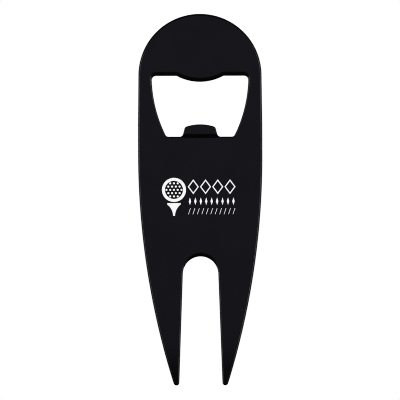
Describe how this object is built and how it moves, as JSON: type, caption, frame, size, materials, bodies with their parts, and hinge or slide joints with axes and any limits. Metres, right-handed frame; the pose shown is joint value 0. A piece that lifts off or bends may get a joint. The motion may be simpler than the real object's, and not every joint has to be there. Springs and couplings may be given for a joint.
{
  "type": "divot repair tool",
  "caption": "Flat black golf divot repair tool: rounded head with a bottle-opener window and tongue, tapering body and two pointed prongs.",
  "frame": {"origin": "midway between the prong tips, at the level of their lowest points and at mid-thickness", "axes": "+Z from the prong tips to the rounded head, -Y out of the printed front face, +X to the right of someone looking at the printed face"},
  "size_m": [0.0318, 0.0025, 0.095],
  "materials": {
    "black_anodised": "fine satin, black anodised",
    "white_ink": "matt pad-print ink"
  },
  "bodies": {
    "root": {"tool_plate": "black_anodised", "print_ball_ring": "white_ink", "print_ball_dimples": "white_ink", "print_tee": "white_ink", "print_lozenges": "white_ink", "print_diamonds": "white_ink", "print_hatch": "white_ink"}
  },
  "joints": []
}
